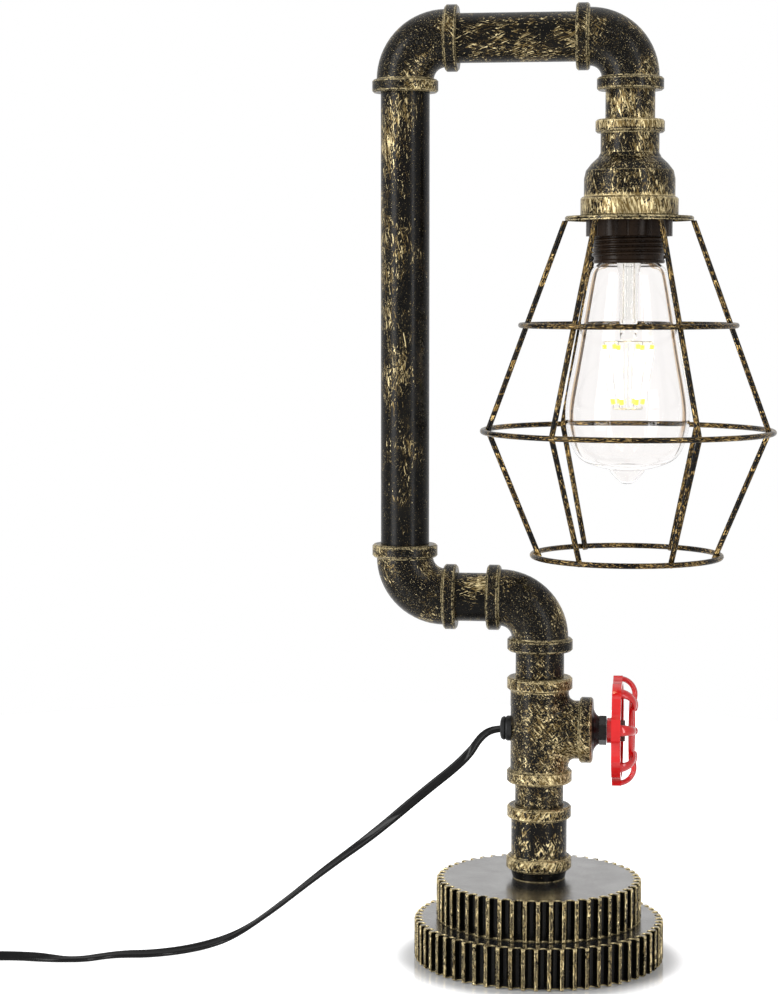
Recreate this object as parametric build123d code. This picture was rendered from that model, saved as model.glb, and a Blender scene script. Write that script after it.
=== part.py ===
"""Table lamp built from 3/4 inch pipe and malleable fittings on two stacked gears.

Frame: the origin is the middle of the underside, +Z is up and +X runs along the arm to the shade.
Millimetres throughout.
"""

from build123d import *
import math
import os

os.makedirs("parts", exist_ok=True)

# ---- where the pipework runs -------------------------------------------------------------------
column_x = -75.0  # axis of the tall pipe
drop_x = 47.0  # axis of the lampholder and the cage
arm_z = 506.2  # axis of the top pipe
offset_z = 201.4  # axis of the short pipe between the two lower elbows
tee_z = 128.6  # axis of the tee's branch, which the handwheel turns about

# ---- 3/4 inch pipe and its fittings --------------------------------------------------------------
pipe_r = 13.35
pipe_bore = 10.45
socket_r = pipe_r + 0.05
socket_depth = 12.5  # how far a pipe end goes into a fitting
fitting_bore = 11.6
elbow_reach = 29.0  # from an elbow's centre to either end
elbow_r = 15.6
tee_reach = 29.3
tee_r = 16.1
branch_fillet = 4.0
band_r = 18.0  # the bead round each end of a fitting
band_length = 7.0
band_chamfer = 0.9

# ---- gears and what holds them together ----------------------------------------------------------
pad_r, pad_thickness, pad_recess = 61.0, 1.5, 1.0
gear_bottom = pad_thickness - pad_recess
lower_gear_top = 22.9
upper_gear_top = 45.4
lower_teeth, lower_tip_r = 62, 69.1
upper_teeth, upper_tip_r = 50, 56.8
flute_depth = 4.4
flute_r = 2.25  # the round bottom of the space between two teeth
land_crown = 0.45  # how much the top of a tooth is rounded
tooth_chamfer = 0.9
gear_bore = pipe_r + 0.1
nut_pocket_r, nut_pocket_depth = 24.0, 12.0
washer_thickness = 2.0
nut_flats, nut_height = 36.0, 7.5

# ---- base coupling -------------------------------------------------------------------------------
coupling_top = 86.3
coupling_r = 15.4
coupling_foot_r = 14.4
foot_height = 5.4  # the bare taper under the coupling's lower bead

# ---- dimmer and handwheel ------------------------------------------------------------------------
bonnet_flare_r, bonnet_flare = 14.2, 3.7
hex_flats, hex_length = 14.2, 3.9
spindle_r = 3.0
running_gap = 0.06
wheel_gap = 0.4
wheel_r = 30.5
wheel_boss_r, wheel_boss = 7.1, 3.2
wheel_band = 5.0  # how wide the rim is along the axis
wheel_rim_inner = 25.6
wheel_lobes = 8
scallop_r, scallop_depth = 14.0, 2.0
wheel_bar_wide, wheel_bar_thin = (3.2, 1.9), 1.5  # half a bar's width at the rim and the ring, half its depth
wheel_ring_r, wheel_ring_thick = 17.6, 1.4
wheel_spokes, wheel_spoke_width, wheel_web = 4, 6.0, 2.6
wheel_nut_flats, wheel_nut_height = 10.0, 3.4
wheel_turn = 10.5  # degrees that the dimmer's off position turns the wheel about its axis
dimmer_r, dimmer_back = 8.6, 9.0

# ---- reducer, lampholder and shade ring ----------------------------------------------------------
reducer_top = 461.6
reducer_bottom = 410.0
reducer_neck_r, reducer_body_r, reducer_band_r = 15.8, 24.6, 26.4
reducer_wall = 3.0
bush_thickness = 2.5
holder_bottom = 384.6
holder_r = 20.0
holder_wall = 2.6
insert_contact_top = 420.0  # where the lead meets the lampholder's centre contact
ring_r, ring_bottom = 23.3, 399.2
plate_r, plate_hole, plate_thickness, plate_rim = 34.7, 20.4, 1.2, 2.4

# ---- cage ----------------------------------------------------------------------------------------
wire_r = 1.5
upper_ring = (58.2, 351.2)  # radius of the wire's middle, height
middle_ring = (78.8, 293.6)
lower_ring = (51.3, 225.7)
weld = 0.08  # how far a welded wire sinks into the next
rib_count = 6
first_rib = 0.8  # degrees from +X
rib_bend = 4.0

# ---- bulb ----------------------------------------------------------------------------------------
bulb_widest_r, bulb_widest_z = 33.8, 303.0
bulb_bottom = 272.9  # where the tip starts
bulb_tip = 264.9
neck_r, neck_z = 21.1, 377.5
collar_r = 12.7  # the glass inside the cap
glass_top = 390.6
glass_wall = 1.0
cap_r, cap_bottom, cap_top = 13.2, 388.6, 409.5
contact_top = 413.0
filament_count, first_filament = 6, 7.5  # how many, degrees from +X
filament_top = (13.0, 340.5)  # distance from the bulb's axis, height
filament_bottom = (7.8, 308.5)
filament_r = 1.15
stem_r, stem_bore, exhaust_r = 5.1, 4.2, 1.5  # the glass tube from the collar down to the pinch
pinch_top, pinch_bottom = 354.5, 343.2
upper_arm_z, lower_arm_z = 342.3, 305.8  # the wires that carry the filaments' ends
arm_r = 0.3

# ---- mains lead ----------------------------------------------------------------------------------
cord_r = 2.6
grommet_r, grommet_face = 7.0, 21.6
# The lead leaves the dimmer, passes the grommet, comes down to the floor and runs off to its coil.
cord_route = [
    (dimmer_back, -2.8, tee_z),
    (-5.0, -2.8, tee_z),
    (-22.5, 0.0, tee_z + 0.1),
    (-39.0, -0.6, 114.0),
    (-66.0, -0.2, 91.5),
    (-93.0, 1.4, 66.0),
    (-121.0, 0.6, 45.0),
    (-148.0, 1.2, 22.5),
    (-171.0, -1.0, 6.6),
    (-190.0, -15.0, 2.6),
    (-212.0, -30.5, 2.6),
    (-236.0, -32.5, 2.6),
    (-257.0, -47.0, 2.6),
    (-283.0, -44.5, 2.6),
    (-306.0, -49.0, 2.6),
    (-325.0, -60.0, 2.6),
]
coil_centre = (-342.5, -29.8)
coil_mean_r, coil_half_width, coil_height = 28.5, 9.0, 15.6
plug_size = (26.0, 25.0, 13.0)
plug_tail = 20.0  # the tapered strain relief behind the plug
# The lead leaves the coil's outermost turn and rises to the plug.
tail_route = [
    (-377.0, -33.0, 2.6),
    (-379.3, -17.0, 3.4),
    (-384.6, -1.0, plug_size[2] / 2),
    (-384.6, 14.0, plug_size[2] / 2),
]


# ---- shapes that repeat --------------------------------------------------------------------------
def turned(outline):
    """A solid of revolution about Z from its (radius, height) outline."""
    return revolve(Plane.XZ * make_face(Polyline(*outline, close=True)), Axis.Z)


def tube(outer, inner, low, high):
    return turned([(inner, low), (outer, low), (outer, high), (inner, high)])


def rod(radius, low, high):
    return Pos(0, 0, low) * Cylinder(radius, high - low, align=(Align.CENTER, Align.CENTER, Align.MIN))


def hexagon_bar(flats, low, high):
    return Pos(0, 0, low) * extrude(RegularPolygon(flats / 2, 6, major_radius=False), high - low)


def bead(radius, length, end, up=1):
    """The bead at a fitting's end. It lies on Z, with its end face at the height end."""
    back = end - up * length
    return turned(
        [
            (0, back),
            (radius - band_chamfer, back),
            (radius, back + up * band_chamfer),
            (radius, end - up * band_chamfer),
            (radius - band_chamfer, end),
            (0, end),
        ]
    )


def socket(end, up=1):
    """What a pipe end takes out of a fitting whose end face is at the height end."""
    return rod(socket_r, min(end, end - up * socket_depth), max(end, end - up * socket_depth))


def save(node, *solids):
    found = [s for shape in solids for s in shape.solids()]
    export_step(found[0] if len(found) == 1 else Compound(found), f"parts/{node}.step")
    print(f"{node}: {len(found)} solid(s), {sum(s.volume for s in found):.0f} mm3")


def straight_pipe(start, end):
    """A piece of pipe between two points on its axis."""
    axis = Vector(*end) - Vector(*start)
    return Plane(origin=start, z_dir=axis) * tube(pipe_r, pipe_bore, 0, axis.length)


to_x = Rot(0, 90, 0)  # turns what was made along Z to lie along X


# ---- base ----------------------------------------------------------------------------------------
def gear(teeth, tip_r, low, high):
    """A straight gear whose tooth spaces have round bottoms and whose teeth are rounded on top."""
    pitch = 2 * math.pi / teeth
    floor_r = tip_r - flute_depth
    edge_r = tip_r - land_crown
    half_flute = math.asin(flute_r * 1.12 / edge_r)
    outline = []

    def at(radius, angle):
        return (radius * math.sin(angle), -radius * math.cos(angle))

    for i in range(teeth):
        middle = i * pitch
        side_r = floor_r + flute_r
        wall = math.asin(flute_r / side_r)
        outline += [
            Line(at(edge_r, middle - half_flute), at(side_r, middle - wall)),
            ThreePointArc(at(side_r, middle - wall), at(floor_r, middle), at(side_r, middle + wall)),
            Line(at(side_r, middle + wall), at(edge_r, middle + half_flute)),
            ThreePointArc(
                at(edge_r, middle + half_flute),
                at(tip_r, middle + pitch / 2),
                at(edge_r, middle + pitch - half_flute),
            ),
        ]
    blank = Pos(0, 0, low) * extrude(make_face(outline), high - low)
    rim = turned(
        [
            (0, low),
            (tip_r - tooth_chamfer, low),
            (tip_r + 0.01, low + tooth_chamfer),
            (tip_r + 0.01, high - tooth_chamfer),
            (tip_r - tooth_chamfer, high),
            (0, high),
        ]
    )
    return blank & rim


def base():
    pocket_top = gear_bottom + nut_pocket_depth
    lower = gear(lower_teeth, lower_tip_r, gear_bottom, lower_gear_top)
    lower -= rod(pad_r, gear_bottom, pad_thickness)
    lower -= rod(nut_pocket_r, gear_bottom, pocket_top)
    lower -= rod(gear_bore, pocket_top, lower_gear_top)
    save("lower_gear", lower)
    upper = gear(upper_teeth, upper_tip_r, lower_gear_top, upper_gear_top)
    save("upper_gear", upper - rod(gear_bore, lower_gear_top, upper_gear_top))
    save("base_pad", rod(pad_r - 0.2, 0, pad_thickness))
    nut_top = pocket_top - washer_thickness
    save("base_washer", tube(nut_pocket_r - 1.5, gear_bore, nut_top, pocket_top))
    nut = hexagon_bar(nut_flats, nut_top - nut_height, nut_top) - rod(socket_r, 0, nut_top)
    save("base_lock_nut", nut)
    save("base_nipple", tube(pipe_r, pipe_bore, 2.4, upper_gear_top + socket_depth))


def base_coupling():
    low = upper_gear_top
    band_low = low + foot_height
    body = turned(
        [
            (0, low),
            (coupling_foot_r, low),
            (coupling_foot_r + 1.3, band_low),
            (coupling_r, band_low + band_length),
            (coupling_r, coupling_top - band_length),
            (0, coupling_top - band_length),
        ]
    )
    body += bead(band_r, band_length, band_low, -1)
    body += bead(band_r - 0.3, band_length, coupling_top)
    body -= socket(low, -1)
    body -= socket(coupling_top)
    body -= rod(fitting_bore, low, coupling_top)
    save("base_coupling", body)


# ---- fittings ------------------------------------------------------------------------------------
def elbow():
    """An elbow whose ends face +Z and +X."""
    start = elbow_reach - band_length
    bend = Axis((start, 0, start), (0, -1, 0))
    body = revolve(Pos(0, 0, start) * Circle(elbow_r), bend, 90)
    body += bead(band_r, band_length, elbow_reach)
    body += to_x * bead(band_r, band_length, elbow_reach)
    inside = revolve(Pos(0, 0, start) * Circle(fitting_bore), bend, 90)
    inside += rod(fitting_bore, start, elbow_reach) + to_x * rod(fitting_bore, start, elbow_reach)
    body -= inside
    body -= socket(elbow_reach)
    return body - to_x * socket(elbow_reach)


def tee():
    straight = tee_reach - band_length
    body = rod(tee_r, -straight, straight)
    body += to_x * rod(tee_r - 0.1, 0, straight)
    body = fillet(body.edges().filter_by(GeomType.BSPLINE), branch_fillet)
    body += bead(band_r, band_length, tee_reach)
    body += bead(band_r, band_length, -tee_reach, -1)
    body += to_x * bead(band_r + 0.1, band_length, tee_reach)
    body -= rod(fitting_bore, -tee_reach, tee_reach)
    body -= to_x * rod(fitting_bore, 0, tee_reach)
    for turn in (Rot(0, 0, 0), Rot(180, 0, 0), to_x):
        body -= turn * socket(tee_reach)
    body -= to_x * rod(grommet_r - 2.2, -tee_r - 2, -fitting_bore + 3)
    return Pos(0, 0, tee_z) * body


def pipework():
    up, over, under = elbow(), Rot(180, 0, 0) * elbow(), Rot(0, 180, 0) * elbow()
    save("column_elbow", Pos(column_x, 0, offset_z) * up)
    save("top_elbow", Pos(column_x, 0, arm_z) * over)
    save("riser_elbow", Pos(0, 0, offset_z) * under)
    save("arm_elbow", Pos(drop_x, 0, arm_z) * under)
    save("tee", tee())
    elbow_seat, tee_seat = elbow_reach - socket_depth, tee_reach - socket_depth
    save("lower_nipple", straight_pipe((0, 0, coupling_top - socket_depth), (0, 0, tee_z - tee_seat)))
    save("upper_nipple", straight_pipe((0, 0, tee_z + tee_seat), (0, 0, offset_z - elbow_seat)))
    save(
        "offset_nipple",
        straight_pipe((column_x + elbow_seat, 0, offset_z), (-elbow_seat, 0, offset_z)),
    )
    save(
        "column_pipe",
        straight_pipe((column_x, 0, offset_z + elbow_seat), (column_x, 0, arm_z - elbow_seat)),
    )
    save(
        "arm_pipe",
        straight_pipe((column_x + elbow_seat, 0, arm_z), (drop_x - elbow_seat, 0, arm_z)),
    )
    drop_end = reducer_top - socket_depth + bush_thickness
    save("drop_nipple", straight_pipe((drop_x, 0, arm_z - elbow_seat), (drop_x, 0, drop_end)))


# ---- dimmer in the tee and its handwheel ---------------------------------------------------------
def handwheel(low):
    """The handwheel about Z, with its boss starting at the height low."""
    rim_low = low + wheel_boss
    rim_high = rim_low + wheel_band
    lobes = Circle(wheel_r)
    for place in PolarLocations(wheel_r + scallop_r - scallop_depth, wheel_lobes, 180 / wheel_lobes):
        lobes -= place * Circle(scallop_r)
    wheel = Pos(0, 0, rim_low) * extrude(lobes - Circle(wheel_rim_inner), wheel_band)
    web_low = rim_low + 0.6
    wheel += rod(wheel_boss_r, low, web_low + wheel_web)
    spoke = Pos(wheel_rim_inner / 2 + 1, 0, web_low + wheel_web / 2)
    for i in range(wheel_spokes):
        wheel += Rot(0, 0, i * 360 / wheel_spokes) * spoke * Box(wheel_rim_inner + 1, wheel_spoke_width, wheel_web)
    bar_r = wheel_r - wheel_bar_thin - 0.3
    arch = ThreePointArc(
        (bar_r, 0, rim_high - 2.0),
        (bar_r - 2.8, 0, rim_high + 4.5),
        (wheel_ring_r, 0, rim_high + 6.4),
    )
    ends = [
        Plane(origin=arch @ at, x_dir=(0, 1, 0), z_dir=arch % at) * Ellipse(wide, wheel_bar_thin)
        for at, wide in zip((0, 1), wheel_bar_wide)
    ]
    bar = sweep(ends, path=arch, multisection=True)
    for i in range(wheel_lobes):
        wheel += Rot(0, 0, i * 360 / wheel_lobes) * bar
    wheel += Pos(0, 0, rim_high + 5.3) * Torus(wheel_ring_r, wheel_ring_thick)
    return wheel - rod(spindle_r, low, rim_high)


def dimmer():
    face = tee_reach
    hex_low = face + bonnet_flare
    hex_high = hex_low + hex_length
    thread_low = face - socket_depth + 1.0
    bonnet = turned(
        [
            (0, thread_low),
            (pipe_r, thread_low),
            (pipe_r, face),
            (bonnet_flare_r, face),
            (12.2, face + 0.4),
            (10.2, face + 1.1),
            (8.6, face + 2.2),
            (7.6, hex_low),
            (0, hex_low),
        ]
    )
    bonnet += hexagon_bar(hex_flats, hex_low, hex_high)
    bonnet -= rod(spindle_r + running_gap, thread_low, hex_high)
    place = Pos(0, 0, tee_z) * to_x
    save("dimmer_bonnet", place * bonnet)
    body = rod(dimmer_r, dimmer_back, thread_low)
    spindle_back = thread_low - 3.0
    body -= rod(spindle_r + running_gap, spindle_back, thread_low)
    save("dimmer_body", place * body)

    turn = place * Rot(0, 0, -wheel_turn)
    wheel_low = hex_high + wheel_gap
    nut_low = wheel_low + wheel_boss + 0.6 + wheel_web
    nut_high = nut_low + wheel_nut_height
    save("dimmer_spindle", place * rod(spindle_r, spindle_back + 0.2, nut_high + 0.8))
    save("handwheel", turn * handwheel(wheel_low))
    nut = hexagon_bar(wheel_nut_flats, nut_low, nut_high) - rod(spindle_r, nut_low, nut_high)
    save("handwheel_nut", turn * nut)


def grommet():
    """A rubber bush with two flanges in the tee's wall, round the lead."""
    neck = grommet_r - 2.4
    body = turned(
        [
            (cord_r - 0.15, -grommet_face),
            (grommet_r - 2.6, -grommet_face),
            (grommet_r - 1.2, -grommet_face + 0.5),
            (grommet_r - 0.5, -grommet_face + 1.4),
            (grommet_r - 0.4, -grommet_face + 2.4),
            (grommet_r - 1.0, -grommet_face + 2.8),
            (grommet_r - 0.2, -grommet_face + 3.3),
            (grommet_r, -grommet_face + 4.0),
            (grommet_r, -tee_r + 1.0),
            (neck, -tee_r + 1.0),
            (neck, -fitting_bore),
            (cord_r - 0.15, -fitting_bore),
        ]
    )
    body -= Rot(0, -90, 0) * rod(tee_r + 0.02, -20, 20)
    neck_part = tube(neck, cord_r - 0.15, -tee_r - 0.6, -fitting_bore)
    save("cord_grommet", Pos(0, 0, tee_z) * to_x * (body + neck_part))


# ---- reducer and lampholder ----------------------------------------------------------------------
def reducer():
    top, low = reducer_top, reducer_bottom
    seat = top - socket_depth
    band = 10.2
    body = turned(
        [
            (0, low),
            (reducer_band_r - 0.6, low),
            (reducer_band_r, low + band_chamfer),
            (reducer_band_r, low + band - band_chamfer),
            (reducer_band_r - band_chamfer, low + band),
            (reducer_body_r, low + band + 0.4),
            (reducer_body_r, low + 20.0),
            (reducer_body_r - 1.0, low + 24.4),
            (reducer_body_r - 4.0, low + 28.2),
            (reducer_neck_r + 1.2, low + 31.6),
            (reducer_neck_r, low + 34.0),
            (reducer_neck_r, top - band_length),
            (0, top - band_length),
        ]
    )
    body += bead(18.6, band_length, top)
    inner_r = reducer_body_r - reducer_wall
    body -= rod(socket_r, seat, top)
    body -= rod(fitting_bore, low + 30.0, seat)
    body -= turned(
        [(0, low), (inner_r, low), (inner_r, low + 21.0), (fitting_bore, low + 31.0), (0, low + 31.0)]
    )
    return body


def lampholder():
    seat = reducer_top - socket_depth
    stud_r = 5.0  # M10 hollow stud
    place = Pos(drop_x, 0, 0)
    save("reducer", place * reducer())
    bush = tube(pipe_r, stud_r, seat, seat + bush_thickness)
    save("holder_bush", place * bush)
    nut_low = seat + bush_thickness
    save("holder_lock_nut", place * (hexagon_bar(14, nut_low, nut_low + 4) - rod(stud_r, nut_low, nut_low + 4)))
    boss_top = seat - 4.0
    save("holder_stud", place * tube(stud_r, 3.6, boss_top - 7.0, nut_low + 5.5))

    inner = holder_r - holder_wall
    low, shoulder, dome = holder_bottom, 426.0, 434.0
    shell = turned(
        [
            (0, low),
            (holder_r - 0.5, low),
            (holder_r, low + 0.5),
            (holder_r, reducer_bottom + 2.0),
            (holder_r - 0.6, reducer_bottom + 2.6),
            (holder_r - 0.6, shoulder),
            (9.0, dome),
            (9.0, boss_top),
            (0, boss_top),
        ]
    )
    shell -= turned([(0, low), (inner, low), (inner, 424.0), (0, 424.0)])
    shell -= rod(stud_r, boss_top - 7.0, boss_top) + rod(3.6, 424.0, boss_top)
    save("lampholder_shell", place * shell)

    # the porcelain insert carries the screw shell and the centre contact
    insert = tube(inner - 0.1, cap_r + 1.3, cap_bottom + 1.0, 416.0)
    insert += tube(inner - 0.1, 3.6, 416.0, 424.0)
    save("lampholder_insert", place * insert)
    save("screw_shell", place * tube(cap_r + 1.3, cap_r + 0.5, cap_bottom + 2.0, 411.5))
    tongue = rod(4.0, contact_top + 0.3, contact_top + 1.0)
    tongue += rod(1.5, contact_top + 1.0, insert_contact_top)
    save("centre_contact", place * (tongue + tube(6.0, 1.5, 415.2, 416.0)))

    ribs = Circle(ring_r)
    for rib in PolarLocations(ring_r + 0.35, 24):
        ribs -= rib * Circle(0.9)
    plate_top = reducer_bottom
    ring_top = plate_top - plate_thickness
    shade_ring = Pos(0, 0, ring_bottom) * extrude(ribs, ring_top - ring_bottom)
    shade_ring -= rod(holder_r + 0.05, ring_bottom, ring_top)
    save("shade_ring", place * shade_ring)

    plate_low = ring_top - plate_rim + plate_thickness
    plate = turned(
        [
            (plate_hole, ring_top),
            (plate_r - 1.2, ring_top),
            (plate_r - 1.2, plate_low),
            (plate_r, plate_low),
            (plate_r, plate_top - 0.6),
            (plate_r - 0.6, plate_top),
            (plate_hole, plate_top),
        ]
    )
    save("cage_plate", place * plate)
    return plate_low


# ---- cage ----------------------------------------------------------------------------------------
def cage(plate_low):
    place = Pos(drop_x, 0, 0)
    for name, (radius, height) in (
        ("cage_ring_upper", upper_ring),
        ("cage_ring_middle", middle_ring),
        ("cage_ring_lower", lower_ring),
    ):
        save(name, place * Pos(0, 0, height) * Torus(radius, wire_r))
    apart = 2 * wire_r - weld  # between the middles of two wires that are welded
    slope = (middle_ring[0] - upper_ring[0]) / (upper_ring[1] - middle_ring[1])
    lean = math.atan(slope)
    corner_r = middle_ring[0] - apart + rib_bend * (1 / math.cos(lean) - 1)
    upper_r = upper_ring[0] - apart / math.cos(lean)
    slope = (corner_r - upper_r) / (upper_ring[1] - middle_ring[1])
    top_z = plate_low + 2.0
    top_r = upper_r - slope * (top_z - upper_ring[1])
    foot_lean = math.atan((middle_ring[0] - lower_ring[0]) / (middle_ring[1] - lower_ring[1]))
    foot_r = lower_ring[0] - apart / math.cos(foot_lean)
    foot_slope = (corner_r - foot_r) / (middle_ring[1] - lower_ring[1])
    past = 1.4  # a rib ends just under the middle of the lower ring
    line = FilletPolyline(
        (top_r, 0, top_z),
        (corner_r, 0, middle_ring[1]),
        (foot_r - foot_slope * past, 0, lower_ring[1] - past),
        radius=rib_bend,
    )
    rib = sweep(Plane(origin=line @ 0, z_dir=line % 0) * Circle(wire_r), path=line)
    rib -= rod(60, plate_low, plate_low + 10)
    for i in range(rib_count):
        save(f"cage_rib_{i + 1}", place * Rot(0, 0, first_rib + i * 360 / rib_count) * rib)


# ---- bulb ----------------------------------------------------------------------------------------
def bulb_outline(inset):
    """The bulb's wall from its collar down to its tip, moved inwards by inset: (edges, ends)."""
    wide, high = bulb_widest_r, bulb_widest_z
    top = (collar_r - inset, glass_top)
    collar = (collar_r - inset, glass_top - 2.4)
    floor = (10.2 - 0.3 * inset, bulb_bottom + inset)
    tip = (0, bulb_tip + inset)
    side = Spline(
        collar,
        (neck_r - 5.8 - 0.7 * inset, neck_z + 7.8 - 0.6 * inset),
        (neck_r - 1.6 - 0.8 * inset, neck_z + 4.4 - 0.6 * inset),
        (neck_r - inset, neck_z),
        (wide - 8.4 - inset, high + 51.3),
        (wide - 3.6 - inset, high + 24.4),
        (wide - 1.1 - inset, high + 11.5),
        (wide - inset, high),
        (wide - 2.9 - 0.9 * inset, high - 16.2 + 0.4 * inset),
        (wide - 6.8 - 0.7 * inset, high - 23.2 + 0.7 * inset),
        (wide - 14.5 - 0.4 * inset, high - 27.8 + 0.9 * inset),
        floor,
    )
    pip = Spline(
        floor,
        (6.6 - 0.3 * inset, bulb_tip + 3.4 + 0.8 * inset),
        (3.4 - 0.2 * inset, bulb_tip + 0.7 + inset),
        tip,
        tangents=[(-0.6, -1), (-1, 0)],
    )
    return [Line(top, collar), side, pip], (top, tip)


def bulb():
    place = Pos(drop_x, 0, 0)
    outer, outer_ends = bulb_outline(0)
    inner, inner_ends = bulb_outline(glass_wall)
    closing = [Line(a, b) for a, b in zip(outer_ends, inner_ends)]
    save("bulb_glass", place * revolve(Plane.XZ * make_face(outer + inner + closing), Axis.Z))
    cap = turned(
        [
            (11.0, cap_top - 0.8),
            (11.0, glass_top),
            (13.05, glass_top),
            (13.05, cap_bottom),
            (13.5, cap_bottom),
            (cap_r, cap_bottom + 3.5),
            (cap_r, cap_top - 3.0),
            (10.5, cap_top),
            (5.0, cap_top),
            (5.0, cap_top - 0.8),
        ]
    )
    save("bulb_cap", place * cap)
    insulator_top = contact_top - 1.4
    insulator = turned([(0, cap_top), (9.6, cap_top), (6.0, insulator_top), (0, insulator_top)])
    save("bulb_insulator", place * insulator)
    save("bulb_contact", place * turned([(0, insulator_top), (4.6, insulator_top), (3.4, contact_top), (0, contact_top)]))

    stem = turned(
        [
            (0, lower_arm_z - 1.0),
            (1.3, lower_arm_z - 1.0),
            (1.3, upper_arm_z + 0.4),
            (4.3, pinch_bottom + 0.6),
            (4.7, pinch_bottom + 4.0),
            (4.5, pinch_top - 3.0),
            (stem_r, pinch_top),
            (stem_r, 378.0),
            (6.6, 384.5),
            (11.6, glass_top - 1.2),
            (11.6, glass_top),
            (0, glass_top),
        ]
    )
    stem -= turned(
        [
            (exhaust_r, pinch_top),
            (stem_bore, pinch_top),
            (stem_bore, 378.6),
            (5.9, 385.2),
            (8.6, glass_top),
            (exhaust_r, glass_top),
        ]
    )
    save("bulb_stem", place * stem)
    top_r, top_z = filament_top
    low_r, low_z = filament_bottom
    stick = Line((top_r, 0, top_z), (low_r, 0, low_z))
    stick = sweep(Plane(origin=stick @ 0, z_dir=stick % 0) * Circle(filament_r), path=stick)
    arms = [
        FilletPolyline((0.9, 0, upper_arm_z), (top_r, 0, upper_arm_z), (top_r, 0, top_z - 0.1), radius=0.6),
        FilletPolyline((0.9, 0, lower_arm_z), (low_r, 0, lower_arm_z), (low_r, 0, low_z + 0.1), radius=0.6),
    ]
    sticks = []
    wires = [place * Pos(side * 2.9, 0, 0) * rod(0.35, pinch_top - 2.0, glass_top + 4.0) for side in (-1, 1)]
    for i in range(filament_count):
        turn = place * Rot(0, 0, first_filament + i * 360 / filament_count)
        sticks.append(turn * stick)
        for arm in arms:
            wires.append(turn * sweep(Plane(origin=arm @ 0, z_dir=arm % 0) * Circle(arm_r), path=arm))
    save("bulb_filaments", *sticks)
    save("bulb_support_wires", *wires)


# ---- leads and plug ------------------------------------------------------------------------------
def lead(route, radius):
    """A round lead along a route of points: straight runs joined by arcs as large as the runs allow."""
    points = [Vector(*p) for p in route]
    runs = [b - a for a, b in zip(points, points[1:])]
    radii = []
    for before, after in zip(runs, runs[1:]):
        turn = math.radians(before.get_angle(after))
        radii.append(0.45 * min(before.length, after.length) / math.tan(turn / 2))
    line = FilletPolyline(*points, radius=radii)
    solid = sweep(Plane(origin=line @ 0, z_dir=line % 0) * Circle(radius), path=line)
    expected = math.pi * radius**2 * line.length
    print("  bend radii", " ".join(f"{r:.0f}" for r in radii))
    print(f"  length {line.length:.1f} mm, volume {solid.volume:.0f} of {expected:.0f} mm3")
    return solid


def leads():
    save("cord", lead(cord_route, cord_r))
    corner = 9.0
    inner_route = [
        (dimmer_back, 2.9, tee_z),
        (3.0, 2.9, tee_z),
        (-3.5, 2.7, tee_z + 4.0),
        (-5.5, 2.2, tee_z + 12.5),
        (-3.5, 1.2, tee_z + 27.0),
        (-1.5, 0.4, tee_z + 44.0),
        (0.5, 0.0, offset_z - corner),
        (-corner, 0.0, offset_z),
        (column_x + corner, 0.0, offset_z + 0.5),
        (column_x, 0.0, offset_z + corner + 2.0),
        (column_x + 0.5, 0.0, arm_z - corner - 2.0),
        (column_x + corner + 2.0, 0.0, arm_z),
        (drop_x - corner - 2.0, 0.0, arm_z - 0.5),
        (drop_x, 0.0, arm_z - corner - 2.0),
        (drop_x + 0.4, 0.0, reducer_top - 3.0),
        (drop_x, 0.0, insert_contact_top),
    ]
    save("inner_lead", lead(inner_route, 2.4))


def coil_and_plug():
    cx, cy = coil_centre
    inner, outer = coil_mean_r - coil_half_width, coil_mean_r + coil_half_width
    ring = turned(
        [
            (inner + 2.5, 0),
            (outer - 2.5, 0),
            (outer, 3.0),
            (outer, coil_height - 4.0),
            (outer - 4.0, coil_height),
            (inner + 4.0, coil_height),
            (inner, coil_height - 4.0),
            (inner, 3.0),
        ]
    )
    save("cord_coil", Pos(cx, cy, 0) * ring)
    save("cord_tail", lead(tail_route, cord_r))
    long, wide, thick = plug_size
    grip = Box(long, wide, thick)
    grip = fillet(grip.edges().filter_by(Axis.Z), 5.0)
    grip = chamfer(grip.edges().group_by(Axis.Z)[0] + grip.edges().group_by(Axis.Z)[-1], 1.5)
    tail = to_x * Pos(0, 0, -long / 2 - plug_tail) * Cone(
        3.4, 5.2, plug_tail + 1, align=(Align.CENTER, Align.CENTER, Align.MIN)
    )
    end_x, end_y, end_z = tail_route[-1]
    place = Pos(end_x, end_y + plug_tail + long / 2, end_z) * Rot(0, 0, 90)
    save("plug_body", place * (grip + tail))
    blade_long, blade_apart = 17.0, 12.7
    blade = Box(blade_long, 1.5, 6.3)
    blade = fillet(blade.edges().filter_by(Axis.Y).sort_by(Axis.X)[-2:], 2.0)
    middle = (long + blade_long) / 2
    save("plug_blades", *[place * Pos(middle, side * blade_apart / 2, 0) * blade for side in (-1, 1)])


base()
base_coupling()
pipework()
dimmer()
grommet()
cage(lampholder())
bulb()
leads()
coil_and_plug()
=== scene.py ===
import math

import bmesh
import bpy
from mathutils import Matrix, Vector


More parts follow.
